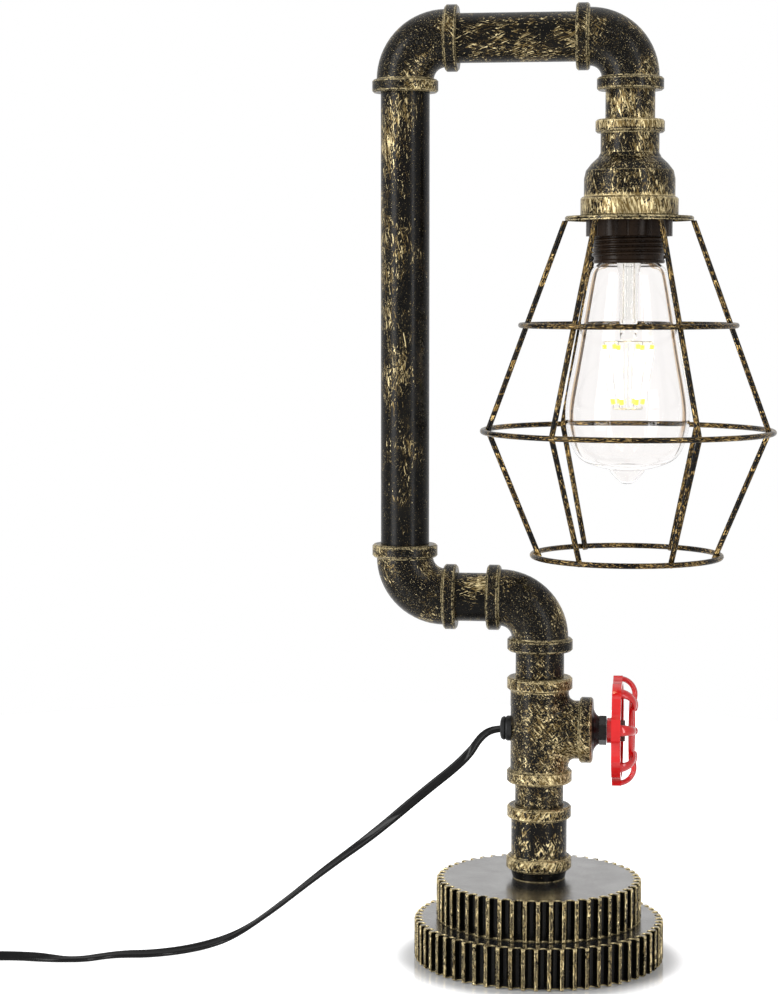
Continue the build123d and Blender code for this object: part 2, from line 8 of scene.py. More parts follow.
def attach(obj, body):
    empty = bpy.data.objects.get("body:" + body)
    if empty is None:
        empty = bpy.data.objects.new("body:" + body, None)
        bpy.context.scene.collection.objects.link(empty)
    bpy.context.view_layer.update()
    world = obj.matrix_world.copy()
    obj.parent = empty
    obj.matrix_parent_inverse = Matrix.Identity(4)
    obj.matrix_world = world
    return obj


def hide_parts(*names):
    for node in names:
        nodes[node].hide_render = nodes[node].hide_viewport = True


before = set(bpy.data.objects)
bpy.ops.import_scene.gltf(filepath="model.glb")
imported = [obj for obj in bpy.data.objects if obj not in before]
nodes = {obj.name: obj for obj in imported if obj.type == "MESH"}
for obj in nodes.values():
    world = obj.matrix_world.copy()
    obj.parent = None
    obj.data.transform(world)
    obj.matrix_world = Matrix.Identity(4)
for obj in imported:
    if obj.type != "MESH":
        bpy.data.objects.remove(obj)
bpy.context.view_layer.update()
print("frame loaded,", len(nodes), "nodes")

view = {
    "place": (0.087609, -1.302804, 0.371242),
    "down": 5.001,  # degrees
    "turn": 7.501,
    "lens": 86.42,  # mm
    "sensor": 36,  # mm, the long side
}


def makeCamera():
    data = bpy.data.cameras.new("viewCamera")
    data.lens = view["lens"]
    data.sensor_width = view["sensor"]
    camera = bpy.data.objects.new("viewCamera", data)
    camera.location = view["place"]
    camera.rotation_euler = (math.radians(90 - view["down"]), 0, math.radians(view["turn"]))
    bpy.context.scene.collection.objects.link(camera)
    bpy.context.scene.camera = camera


makeCamera()
print("camera placed")


def newPiece(name, bm, material, body="lamp"):
    bmesh.ops.remove_doubles(bm, verts=bm.verts, dist=1e-6)
    bmesh.ops.recalc_face_normals(bm, faces=bm.faces)
    mesh = bpy.data.meshes.new(name)
    bm.to_mesh(mesh)
    bm.free()
    for face in mesh.polygons:
        face.use_smooth = True
    piece = bpy.data.objects.new(name, mesh)
    piece.data.materials.append(material)
    bpy.context.scene.collection.objects.link(piece)
    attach(piece, body)
    return piece


def spinFully(bm, geom, centre, steps, axis=(0, 0, 1)):
    bmesh.ops.spin(bm, geom=geom, cent=centre, axis=axis, angle=2 * math.pi, steps=steps, use_merge=True)


lead = {
    "width": 0.0053,
    "thick": 0.0025,
    "web": 0.55,  # how thick the web is between the cores, as a share of a core
    "length": 1.8,
    "route": [
        (0.0090, -0.0028, 0.1286), (-0.0050, -0.0028, 0.1286), (-0.0200, 0.0, 0.1287),
        (-0.0310, -0.0010, 0.1262), (-0.0400, -0.0006, 0.1115), (-0.0660, -0.0002, 0.0900),
        (-0.0930, 0.0014, 0.0660), (-0.1210, 0.0006, 0.0450), (-0.1480, 0.0012, 0.0225),
        (-0.1710, -0.0010, 0.0062), (-0.1900, -0.0150, 0.0023), (-0.2120, -0.0305, 0.0023),
        (-0.2330, -0.0325, 0.0020), (-0.2520, -0.0480, 0.0019), (-0.2790, -0.0445, 0.0025),
        (-0.3040, -0.0480, 0.0028),
    ],
    # how far along, degrees that the flat side leans away from upright
    "lean": [
        (0.0, 70), (0.030, 70), (0.046, 50), (0.060, 5), (0.100, 0), (0.118, 27), (0.152, 60),
        (0.190, 80), (0.212, 88), (0.245, 55), (0.280, 60), (0.304, 80), (0.320, 86), (0.345, 35),
        (0.390, 0),
    ],
    "coilCentre": (-0.3425, -0.0298),
    "coilStart": -60.0,  # degrees round the coil where the lead joins it
    "coilWaver": (0.004, 9.0),  # a share of the radius, and how often it comes round
    # turns wound so far, radius, height
    "coilStages": [
        (0.0, 0.0349, 0.0028), (2.55, 0.0223, 0.0028), (2.85, 0.0222, 0.0080),
        (5.35, 0.0347, 0.0080), (5.7, 0.0272, 0.0131), (7.333, 0.0349, 0.0131),
    ],
    "pointsPerTurn": 14,
    "tail": [(-0.3792, -0.0170, 0.0100), (-0.3846, 0.0000, 0.0068), (-0.3846, 0.0180, 0.0065)],
    "step": 0.0022,
    "faceWidth": 0.0007,  # one face round the section, on the texture
    "exit": (-0.0161, 0, 0.1287),
}


def coilPoints():
    points = []
    stages = lead["coilStages"]
    count = int(stages[-1][0] * lead["pointsPerTurn"])
    for i in range(1, count + 1):
        turns = stages[-1][0] * i / count
        for (t0, r0, z0), (t1, r1, z1) in zip(stages, stages[1:]):
            if turns <= t1 + 1e-9:
                part = (turns - t0) / (t1 - t0)
                radius, height = r0 + (r1 - r0) * part, z0 + (z1 - z0) * part
                break
        angle = math.radians(lead["coilStart"]) - turns * 2 * math.pi
        swing, often = lead["coilWaver"]
        radius *= 1 + swing * math.sin(turns * often)
        cx, cy = lead["coilCentre"]
        points.append((cx + radius * math.cos(angle), cy + radius * math.sin(angle), height))
    return points


def splineLine(name, points):
    curve = bpy.data.curves.new(name, "CURVE")
    curve.dimensions = "3D"
    curve.resolution_u = 12
    spline = curve.splines.new("NURBS")
    spline.points.add(len(points) - 1)
    for point, place in zip(spline.points, points):
        point.co = (*place, 1)
    spline.order_u = 3
    spline.use_endpoint_u = True
    carrier = bpy.data.objects.new(name, curve)
    bpy.context.scene.collection.objects.link(carrier)
    bpy.context.view_layer.update()
    mesh = bpy.data.meshes.new_from_object(carrier)
    line = [v.co.copy() for v in mesh.vertices]
    bpy.data.meshes.remove(mesh)
    bpy.data.objects.remove(carrier)
    return line


def evenly(line, step):  # the same line with points a step apart
    places, left = [line[0]], step
    for a, b in zip(line, line[1:]):
        span = (b - a).length
        done = 0.0
        while span - done >= left:
            done += left
            places.append(a.lerp(b, done / span))
            left = step
        left -= span - done
    places.append(line[-1])
    return places


def leanAt(along):  # in radians
    stages = lead["lean"]
    for (a, low), (b, high) in zip(stages, stages[1:]):
        if along <= b:
            part = (along - a) / (b - a)
            return math.radians(low + (high - low) * part * part * (3 - 2 * part))
    return math.radians(stages[-1][1])


def leadSection():  # two round cores side by side with a web between them
    core, lobe = lead["thick"] / 2, (lead["width"] - lead["thick"]) / 2
    section = []
    for side in (1, -1):
        for k in range(-4, 5):
            a = k * math.pi / 7.2  # 25 degrees from point to point
            section.append((side * (lobe + core * math.cos(a)), side * core * math.sin(a)))
        section.append((0.0, side * core * lead["web"]))
    return section


def makeLead(material):
    line = splineLine("leadLine", lead["route"] + coilPoints() + lead["tail"])
    path = evenly(line, lead["step"])
    section = leadSection()
    bm = bmesh.new()
    uv = bm.loops.layers.uv.new("UVMap")
    before = None
    for i, place in enumerate(path):
        ahead = (path[min(i + 1, len(path) - 1)] - path[max(i - 1, 0)]).normalized()
        up = (Vector((0, 0, 1)) - ahead * ahead.z).normalized()
        wide = Matrix.Rotation(leanAt(i * lead["step"]), 3, ahead) @ up
        flat = ahead.cross(wide)
        ring = [bm.verts.new(place + wide * x + flat * y) for x, y in section]
        if before:
            for k in range(len(ring)):
                n = (k + 1) % len(ring)
                face = bm.faces.new((before[k], before[n], ring[n], ring[k]))
                for loop, u, v in zip(face.loops, (i - 1, i - 1, i, i), (k, k + 1, k + 1, k)):
                    loop[uv].uv = (u * lead["step"], v * lead["faceWidth"])
        else:
            bm.faces.new(ring)
        before = ring
    bm.faces.new(before)
    piece = newPiece("leadCord", bm, material)
    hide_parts("cord", "cord_coil", "cord_tail")
    return piece, path


dropAxis = (0.047, 0.0)  # where the lampholder, the bulb and the cage are centred

holder = {
    # radius and height, from the mouth up the outside and in to the roof
    "outline": [
        (0.0174, 0.3851), (0.0179, 0.3846), (0.0188, 0.3846), (0.0194, 0.3852), (0.0194, 0.3862),
        (0.0188, 0.3868), (0.0188, 0.4000), (0.0200, 0.4005), (0.0200, 0.4120), (0.0194, 0.4126),
        (0.0194, 0.4260), (0.0090, 0.4340), (0.0090, 0.4451), (0.0036, 0.4451), (0.0036, 0.4240),
        (0.0174, 0.4240),
    ],
    "softEdge": 0.00025,
    # the thread's section: radius, and height from where it is wound
    "ridge": [
        (0.0183, -0.0012), (0.0192, -0.0010), (0.01975, -0.0007), (0.0201, -0.0002), (0.0201, 0.0002),
        (0.01975, 0.0007), (0.0192, 0.0010), (0.0183, 0.0012),
    ],
    "pitch": 0.0025,
    "threadFrom": 0.3880,
    "turns": 4.9,
    "steps": 72,
    "threadSteps": 60,  # a turn
}


def makeHolder(material):
    x, y = dropAxis
    bm = bmesh.new()
    verts = [bm.verts.new((x + r, y, z)) for r, z in holder["outline"]]
    edges = [bm.edges.new(pair) for pair in zip(verts, verts[1:] + verts[:1])]
    spinFully(bm, verts + edges, (x, y, 0), holder["steps"])
    shell = newPiece("lampholderShell", bm, material)
    softEdges = shell.modifiers.new("softEdges", "BEVEL")
    softEdges.limit_method = "ANGLE"
    softEdges.width = holder["softEdge"]
    softEdges.segments = 2
    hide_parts("lampholder_shell")

    bm = bmesh.new()
    verts = [bm.verts.new((x + r, y, holder["threadFrom"] + z)) for r, z in holder["ridge"]]
    face = bm.faces.new(verts)
    steps = int(holder["turns"] * holder["threadSteps"])
    bmesh.ops.spin(
        bm, geom=[face], cent=(x, y, 0), axis=(0, 0, 1), angle=2 * math.pi * holder["turns"], steps=steps,
        dvec=(0, 0, holder["pitch"] * holder["turns"] / steps), use_duplicate=False,
    )
    thread = newPiece("lampholderThread", bm, material)


bulb = {
    # radius and height down the outside, in mm
    "outline": [
        (12.7, 390.6), (12.7, 389.4), (12.7, 388.2), (14.5, 385.96), (16.81, 384.24), (19.06, 382.44),
        (20.47, 379.94), (21.18, 377.15), (21.78, 374.32), (22.35, 371.5), (22.89, 368.66), (23.42, 365.82),
        (23.92, 362.98), (24.41, 360.14), (24.9, 357.29), (25.38, 354.45), (25.85, 351.6), (26.33, 348.75),
        (26.82, 345.91), (27.3, 343.06), (27.8, 340.22), (28.31, 337.38), (28.83, 334.54), (29.36, 331.7),
        (29.91, 328.87), (30.47, 326.04), (31.05, 323.21), (31.62, 320.38), (32.16, 317.55), (32.67, 314.71),
        (33.11, 311.85), (33.46, 308.99), (33.7, 306.11), (33.8, 303.23), (33.72, 300.35), (33.47, 297.47),
        (33.04, 294.62), (32.43, 291.8), (31.65, 289.02), (30.71, 286.29), (29.57, 283.64), (28.1, 281.16),
        (26.19, 279.01), (23.86, 277.31), (21.29, 275.99), (18.6, 274.95), (15.84, 274.11), (13.04, 273.43),
        (10.2, 272.9), (9.38, 271.63), (8.48, 270.43), (7.51, 269.28), (6.48, 268.17), (5.4, 267.12),
        (4.24, 266.15), (2.95, 265.37), (1.5, 264.98), (0.0, 264.9),
    ],
    "wall": 0.9,  # mm
    "between": 3,
    "steps": 96,
}


def smoothed(points, between):  # the same line with points put in between on a curve
    ends = [points[0]] + points + [points[-1]]
    line = []
    for a, b, c, d in zip(ends, ends[1:], ends[2:], ends[3:]):
        for i in range(between):
            t = i / between
            line.append(
                b + ((c - a) + (2 * a - 5 * b + 4 * c - d) * t + (3 * b - a - 3 * c + d) * t * t) * t / 2
            )
    return line + [points[-1]]


def makeBulb(material):
    x, y = dropAxis
    outer = smoothed([Vector(p) for p in bulb["outline"]], bulb["between"])
    inner = []
    for i, point in enumerate(outer):
        ahead = (outer[min(i + 1, len(outer) - 1)] - outer[max(i - 1, 0)]).normalized()
        inner.append(point + Vector((ahead.y, -ahead.x)) * bulb["wall"])
    inner[0] = outer[0] - Vector((bulb["wall"], 0))
    inner[-1] = outer[-1] + Vector((0, bulb["wall"]))
    bm = bmesh.new()
    verts = [bm.verts.new((x + max(r, 0.0) / 1000, y, z / 1000)) for r, z in outer + inner[::-1]]
    pairs = list(zip(verts, verts[1:] + verts[:1]))
    pairs.pop(len(outer) - 1)  # the line stays open on the axis
    edges = [bm.edges.new(pair) for pair in pairs]
    spinFully(bm, verts + edges, (x, y, 0), bulb["steps"])
    glass = newPiece("bulbGlass", bm, material, "bulb")
    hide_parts("bulb_glass")


plug = {
    "place": (-0.3846, 0.0470, 0.0065),
    "size": (0.0250, 0.0260, 0.0130),
    "corner": 0.0055,
    "softEdge": 0.0014,
    "panelIn": 0.0030,  # how far the sunk panel lies in from the edge
    "panelSlope": 0.0006,
    "panelDeep": 0.0007,
    "gripCount": 5,
    "gripSize": (0.0130, 0.0013, 0.0010),
    "gripApart": 0.0028,
    "gripSoft": 0.0004,
    "gripIn": 0.0006,  # how deep the middle of a rib lies under the flat side
    "reliefIn": 0.0015,
    "reliefLength": 0.024,
    "reliefPlain": (0.0025, 0.0035),  # length before the ribs, and with what follows them
    "reliefCollar": [(0.0, 0.0), (0.0056, 0.0), (0.0054, 0.0020)],  # radius, and how far from the start
    "reliefTip": [(0.0029, 0.0004), (0.0022, 0.0), (0.0, 0.0)],  # radius, and how far from the end
    "reliefRibs": 6,
    "reliefRib": (0.0053, 0.0033),  # radius of the first rib and of the last
    "reliefGroove": 0.0011,
    "ribShares": (0.3, 0.42, 0.88),  # where in its pitch the groove ends, and the rib begins and ends
    "reliefSteps": 40,
}


def makePlug(material):
    px, py, pz = plug["place"]
    wide, long, thick = plug["size"]
    bm = bmesh.new()
    bmesh.ops.create_cube(bm, size=1.0)
    bmesh.ops.scale(bm, vec=plug["size"], verts=bm.verts)
    upright = [e for e in bm.edges if abs(e.verts[0].co.z - e.verts[1].co.z) > 0.001]
    bmesh.ops.bevel(
        bm, geom=upright, offset=plug["corner"], segments=7, profile=0.5, affect="EDGES", material=-1,
    )
    for face in [f for f in bm.faces if abs(f.normal.z) > 0.9]:  # a sunk thumb panel on each flat side
        bmesh.ops.inset_region(bm, faces=[face], thickness=plug["panelIn"], depth=0.0)
        bmesh.ops.inset_region(bm, faces=[face], thickness=plug["panelSlope"], depth=-plug["panelDeep"])
    outer = [
        e for e in bm.edges
        if all(abs(abs(v.co.z) - thick / 2) < 1e-5 for v in e.verts)
        and any(abs(f.normal.z) < 0.5 for f in e.link_faces)
    ]
    bmesh.ops.bevel(
        bm, geom=outer, offset=plug["softEdge"], segments=3, profile=0.5, affect="EDGES", material=-1,
    )
    bmesh.ops.translate(bm, vec=(px, py, pz), verts=bm.verts)
    body = newPiece("plugBody", bm, material)

    first = -plug["gripApart"] * (plug["gripCount"] - 1) / 2
    for k in range(plug["gripCount"]):  # grip ribs across the sunk panels
        for side, word in ((1, "Top"), (-1, "Under")):
            bm = bmesh.new()
            bmesh.ops.create_cube(bm, size=1.0)
            bmesh.ops.scale(bm, vec=plug["gripSize"], verts=bm.verts)
            bmesh.ops.bevel(
                bm, geom=bm.edges[:], offset=plug["gripSoft"], segments=2, profile=0.5, affect="EDGES",
                material=-1,
            )
            place = (px, py + first + k * plug["gripApart"], pz + side * (thick / 2 - plug["gripIn"]))
            bmesh.ops.translate(bm, vec=place, verts=bm.verts)
            newPiece(f"plugGrip{word}{k + 1}", bm, material)

    # the strain relief tapers towards the lead and is cut into rings
    start = -long / 2 + plug["reliefIn"]
    end = start - plug["reliefLength"]
    outline = [(r, start - a) for r, a in plug["reliefCollar"]]
    before, plain = plug["reliefPlain"]
    pitch = (plug["reliefLength"] - plain) / plug["reliefRibs"]
    thickest, thinnest = plug["reliefRib"]
    for k in range(plug["reliefRibs"]):
        top = start - before - k * pitch
        radius = thickest - (thickest - thinnest) * k / (plug["reliefRibs"] - 1)
        groove = radius - plug["reliefGroove"]
        valley, rise, fall = (top - pitch * share for share in plug["ribShares"])
        outline += [(groove, top), (groove, valley), (radius, rise), (radius, fall)]
    outline += [(r, end + a) for r, a in plug["reliefTip"]]
    bm = bmesh.new()
    verts = [bm.verts.new((px + r, py + a, pz)) for r, a in outline]
    edges = [bm.edges.new(pair) for pair in zip(verts, verts[1:])]
    spinFully(bm, verts + edges, plug["place"], plug["reliefSteps"], axis=(0, 1, 0))
    newPiece("plugRelief", bm, material)
    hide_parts("plug_body")


class Nodes:  # a short way to add and join shader nodes
    def __init__(self, tree):
        self.tree = tree

    def add(self, kind, settings=None, **inputs):
        node = self.tree.nodes.new("ShaderNode" + kind)
        for key, value in (settings or {}).items():
            setattr(node, key, value)
        for key, value in inputs.items():
            self.feed(node, key.replace("_", " "), value)
        return node

    def put(self, socket, value):  # a link from another node, or a plain value
        if isinstance(value, bpy.types.NodeSocket):
            self.tree.links.new(value, socket)
        else:
            socket.default_value = value

    def feed(self, node, key, value):
        self.put(node.inputs[int(key)] if key.isdigit() else node.inputs[key], value)

    def math(self, how, a, b=None, clamp=False):
        node = self.add("Math", {"operation": how, "use_clamp": clamp})
        self.feed(node, "0", a)
        if b is not None:
            self.feed(node, "1", b)
        return node.outputs[0]

    def vector(self, how, a, b=None, scale=None):
        node = self.add("VectorMath", {"operation": how})
        self.feed(node, "0", a)
        if b is not None:
            self.feed(node, "1", b)
        if scale is not None:
            self.feed(node, "Scale", scale)
        return node.outputs["Value"] if how in ("LENGTH", "DOT_PRODUCT") else node.outputs[0]

    def mix(self, factor, a, b, kind="RGBA"):
        node = self.add("Mix", {"data_type": kind})
        for socket, value in zip([s for s in node.inputs if s.enabled], (factor, a, b)):
            self.put(socket, value)
        return next(s for s in node.outputs if s.enabled)

    def noise(self, vector, scale, detail=2.0, rough=0.5):
        return self.add("TexNoise", Vector=vector, Scale=scale, Detail=detail, Roughness=rough)

    def spread(self, value, low, high, to=(0.0, 1.0)):  # smoothly from to[0] at low to to[1] at high
        node = self.add("MapRange", {"interpolation_type": "SMOOTHSTEP"}, Value=value)
        for key, number in (("From Min", low), ("From Max", high), ("To Min", to[0]), ("To Max", to[1])):
            self.feed(node, key, number)
        return node.outputs["Result"]

    def relieve(self, shader, height, strength, depth):
        bump = self.add("Bump", Strength=strength, Distance=depth, Height=height)
        self.feed(shader, "Normal", bump.outputs[0])


def newGroup(name, inputs, outputs):  # its nodes, what it is given and what it puts out
    group = bpy.data.node_groups.new(name, "ShaderNodeTree")
    for label, kind, value in inputs:
        socket = group.interface.new_socket(label, in_out="INPUT", socket_type="NodeSocket" + kind)
        if value is not None:
            socket.default_value = value
    for label, kind in outputs:
        group.interface.new_socket(label, in_out="OUTPUT", socket_type="NodeSocket" + kind)
    start = group.nodes.new("NodeGroupInput")
    end = group.nodes.new("NodeGroupOutput")
    return Nodes(group), start.outputs, end.inputs


# gold paint dragged over black with a dry brush: where it took, its tone and its height
def makeDryBrush():
    n, given, end = newGroup(
        "dryBrush",
        [
            ("Along", "Vector", None),  # the place, squeezed along the first brush direction
            ("Across", "Vector", None),  # and along the second
            ("Vector", "Vector", None),  # the plain place
            ("Fine", "Float", 800.0),
            ("Sway", "Float", 0.0030),  # how far a stroke strays sideways
            ("Amount", "Float", 0.4),  # 0.5 covers half
            ("Patch", "Float", 60.0),
            ("Patchiness", "Float", 0.3),
            ("Specks", "Float", 0.2),
        ],
        [("Mask", "Float"), ("Tone", "Float"), ("Height", "Float")],
    )
    bend = n.noise(given["Vector"], 150.0, 1.0).outputs["Color"]
    stray = n.vector("SCALE", n.vector("SUBTRACT", bend, (0.5, 0.5, 0.5)), scale=given["Sway"])
    patch = n.noise(given["Vector"], given["Patch"], 2.5, 0.6).outputs[0]
    wet = n.math("MULTIPLY", n.math("SUBTRACT", patch, 0.5), given["Patchiness"])

    def strokes(where, fine, shift):  # how far each place lies above the cut that leaves it black
        swayed = n.vector("ADD", where, stray)
        grain = n.noise(n.vector("ADD", swayed, (shift, shift, shift)), fine, 1.8, 0.5).outputs[0]
        level = n.math("ADD", n.math("ADD", given["Amount"], wet), shift * 0.12)
        return n.math("SUBTRACT", grain, n.math("SUBTRACT", 0.79, n.math("MULTIPLY", level, 0.42)))

    first = strokes(given["Along"], given["Fine"], 0.0)
    second = strokes(given["Across"], n.math("MULTIPLY", given["Fine"], 1.3), -0.31)
    taken = n.math("MAXIMUM", first, second)
    hair = n.noise(n.vector("ADD", given["Across"], stray), n.math("MULTIPLY", given["Fine"], 0.4), 1.0)
    line = n.spread(n.math("ABSOLUTE", n.math("SUBTRACT", hair.outputs[0], 0.5)), 0.012, 0.005)
    damp = n.math("ADD", patch, n.math("MULTIPLY", given["Amount"], 0.35))
    line = n.math("MULTIPLY", line, n.spread(damp, 0.60, 0.74))
    dot = n.noise(given["Vector"], n.math("MULTIPLY", given["Fine"], 1.6), 2.0, 0.6).outputs[0]
    dotCut = n.math("SUBTRACT", 0.76, n.math("MULTIPLY", given["Specks"], 0.40))
    dots = n.spread(dot, dotCut, n.math("ADD", dotCut, 0.04))
    solid = n.math("MAXIMUM", n.spread(taken, 0.0, 0.05), n.math("MAXIMUM", line, dots), clamp=True)
    glaze = n.math("MULTIPLY", n.spread(taken, -0.05, 0.0), 0.07)
    mask = n.math("MAXIMUM", solid, glaze, clamp=True)
    tone = n.noise(given["Along"], n.math("MULTIPLY", given["Fine"], 0.7), 3.0, 0.7).outputs[0]
    bright = n.math("MULTIPLY", n.spread(tone, 0.43, 0.68), n.spread(solid, 0.25, 1.0))
    n.put(end["Mask"], mask)
    n.put(end["Tone"], bright)
    n.put(end["Height"], n.math("MULTIPLY", solid, n.spread(tone, 0.35, 0.75)))
    return n.tree


# where a sharp edge has caught the brush
def makeEdgeWear():
    n, given, end = newGroup(
        "edgeWear",
        [
            ("Vector", "Vector", None), ("Width", "Float", 0.0007), ("Breaks", "Float", 700.0),
            ("Gaps", "Float", 0.40),  # the larger, the more of the edge is left out
            ("Gain", "Float", 1.0),
        ],
        [("Mask", "Float")],
    )
    bevel = n.add("Bevel", {"samples": 6}, Radius=given["Width"])
    here = n.add("NewGeometry")
    dot = n.vector("DOT_PRODUCT", bevel.outputs[0], here.outputs["Normal"])
    edge = n.spread(dot, 0.992, 0.945)
    noise = n.noise(given["Vector"], given["Breaks"], 3.0, 0.7)
    broken = n.spread(noise.outputs[0], given["Gaps"], n.math("ADD", given["Gaps"], 0.12))
    n.put(end["Mask"], n.math("MULTIPLY", n.math("MULTIPLY", edge, broken), given["Gain"], clamp=True))
    return n.tree


# the place on a wire of the cage: round the lamp's drop axis, out from it, and up
def makeWirePlace():
    n, given, end = newGroup(
        "wirePlace", [("Vector", "Vector", None)], [("Round", "Float"), ("Out", "Float"), ("Up", "Float")],
    )
    parts = n.add("SeparateXYZ", Vector=given["Vector"])
    x = n.math("SUBTRACT", parts.outputs[0], dropAxis[0])
    y = parts.outputs[1]
    n.put(end["Round"], n.math("ARCTAN2", y, x))
    n.put(end["Out"], n.math("SQRT", n.math("ADD", n.math("MULTIPLY", x, x), n.math("MULTIPLY", y, y))))
    n.put(end["Up"], parts.outputs[2])
    return n.tree


dryBrush = makeDryBrush()
edgeWear = makeEdgeWear()
wirePlace = makeWirePlace()

paint = {
    "goldLight": (0.94, 0.78, 0.43, 1),
    "goldDark": (0.145, 0.098, 0.034, 1),
    "goldRough": 0.38,
    "goldMetal": 0.42,
    "black": (0.0015, 0.0014, 0.0012, 1),
    "worn": (0.0042, 0.0038, 0.0031, 1),
    "grit": (0.07, 0.066, 0.055, 1),  # the light specks of rough castings
    "blackGloss": 0.10,
    "blackRough": (0.21, 0.32),
    "edgeWidth": 0.0013,
    "edgeGain": 0.9,
    "relief": (0.32, 0.00016),  # strength and depth
}


def startMaterial(name):  # its nodes, its shader and its texture coordinates
    material = bpy.data.materials.new(name)
    material.use_nodes = True
    n = Nodes(material.node_tree)
    shader = material.node_tree.nodes["Principled BSDF"]
    where = n.add("TexCoord")
    return n, shader, where


def useGroup(n, group, **inputs):
    node = n.tree.nodes.new("ShaderNodeGroup")
    node.node_tree = group
    for key, value in inputs.items():
        n.feed(node, key, value)
    return node


def brushed(n, place, turn, squeeze):  # a place turned by degrees and squeezed along the brush
    turned = n.add("Mapping", Vector=place, Rotation=[math.radians(a) for a in turn])
    return n.add("Mapping", Vector=turned.outputs[0], Scale=squeeze).outputs[0]


def madeOf(n):  # the material that a tree of nodes belongs to
    return next(m for m in bpy.data.materials if m.node_tree == n.tree)


def goldOnBlack(n, shader, obj, mask, tone, height, bronzeAndBulbGlow=0.0, cast=0.0):
    # The warm setting turns the gold towards orange-brown: partly the wires' own bronze, partly painted warm
    # light from the lit bulb.
    bronzeAndBulbTint = (1 + 0.10 * bronzeAndBulbGlow, 1 - 0.06 * bronzeAndBulbGlow, 1 - 0.30 * bronzeAndBulbGlow, 1)
    light, dark = (tuple(c * w for c, w in zip(paint[k], bronzeAndBulbTint)) for k in ("goldLight", "goldDark"))
    cloud = n.noise(obj, 130.0, 3.0, 0.6).outputs[0]
    under = n.mix(n.spread(cloud, 0.40, 0.70), paint["black"], paint["worn"])
    if cast:
        grit = n.noise(obj, 1100.0, 2.0, 0.6).outputs[0]
        under = n.mix(n.spread(grit, 0.62 - 0.04 * cast, 0.72), under, paint["grit"])
    n.feed(shader, "Base Color", n.mix(mask, under, n.mix(tone, dark, light)))
    n.feed(shader, "Metallic", n.math("MULTIPLY", mask, paint["goldMetal"]))
    satin = n.spread(cloud, 0.3, 0.7, paint["blackRough"])
    n.feed(shader, "Roughness", n.mix(mask, satin, paint["goldRough"], "FLOAT"))
    shader.inputs["Specular IOR Level"].default_value = paint["blackGloss"]
    skin = n.noise(obj, 500.0 + 400.0 * cast, 2.0).outputs[0]
    relief = n.math("ADD", n.math("MULTIPLY", skin, 0.22 + 0.9 * cast), height)
    n.relieve(shader, relief, *paint["relief"])
    return madeOf(n)


# climb, fade and rim: (from, to, gain), how the share of gold changes upwards, to the right and out from the
# lower pipe's axis
def paintedMetal(name, turns, squeeze=(1, 1, 0.14), second=None, fine=1200.0, sway=0.0026, amount=0.36,
                 patch=60.0, patchiness=0.5, specks=0.2, climb=(), fade=(), rim=(), cast=0.0):
    n, shader, where = startMaterial(name)
    obj = where.outputs["Object"]
    share = amount
    parts = n.add("SeparateXYZ", Vector=obj)
    out = n.vector("LENGTH", n.add("CombineXYZ", X=parts.outputs[0], Y=parts.outputs[1]).outputs[0])
    for changes, place in ((climb, parts.outputs[2]), (fade, parts.outputs[0]), (rim, out)):
        for low, high, gain in changes:
            share = n.math("ADD", share, n.spread(place, low, high, (0.0, gain)))
    brush = useGroup(
        n, dryBrush, Vector=obj, Along=brushed(n, obj, turns[0], squeeze),
        Across=brushed(n, obj, turns[1], second or squeeze), Fine=fine, Sway=sway, Amount=share, Patch=patch,
        Patchiness=patchiness, Specks=specks,
    )
    edges = useGroup(n, edgeWear, Vector=obj, Width=paint["edgeWidth"], Gain=paint["edgeGain"])
    mask = n.math("MAXIMUM", brush.outputs["Mask"], edges.outputs["Mask"])
    tone = n.math("MAXIMUM", brush.outputs["Tone"], n.math("MULTIPLY", edges.outputs["Mask"], 0.8))
    return goldOnBlack(n, shader, obj, mask, tone, brush.outputs["Height"], cast=cast)


wireLook = {
    "brush": {
        "Fine": 2300.0, "Sway": 0.0003, "Amount": 0.50, "Patch": 70.0, "Patchiness": 0.7, "Specks": 0.10,
    },
    "ringPull": 0.010,  # how much the turn round a ring is squeezed
    "ribPull": (0.060, 0.16),  # how much the turn and the height on a rib are
    "dim": 0.75,
}


def wirePaint(name, ring):  # streaks that run along a ring or a rib
    n, shader, where = startMaterial(name)
    obj = where.outputs["Object"]
    place = useGroup(n, wirePlace, Vector=obj)
    turn, out, up = (place.outputs[k] for k in ("Round", "Out", "Up"))
    if ring:
        along = n.add("CombineXYZ", X=out, Y=up, Z=n.math("MULTIPLY", turn, wireLook["ringPull"])).outputs[0]
    else:
        turned, raised = (n.math("MULTIPLY", v, pull) for v, pull in zip((turn, up), wireLook["ribPull"]))
        along = n.add("CombineXYZ", X=turned, Z=raised).outputs[0]
    brush = useGroup(n, dryBrush, Vector=obj, Along=along, Across=along, **wireLook["brush"])
    tone = n.math("MULTIPLY", brush.outputs["Tone"], wireLook["dim"])
    # orange-brown gold on the cage wires: partly their bronze, partly painted light from the bulb
    return goldOnBlack(n, shader, obj, brush.outputs["Mask"], tone, brush.outputs["Height"], bronzeAndBulbGlow=1.0)


gearLook = {
    "space": (0.0030, 0.0027, 0.0023, 1),  # between the teeth
    "greyDark": (0.215, 0.210, 0.204, 1),
    "greyLight": (0.275, 0.270, 0.262, 1),
    "flatMetal": 0.96,
    "toothDepth": 0.0044,
    "brush": {"Fine": 950.0, "Sway": 0.0016, "Patch": 230.0, "Specks": 0.2},
    "edges": {"Width": 0.0014, "Breaks": 300.0},
    "relief": (0.25, 0.00018),  # strength and depth
}


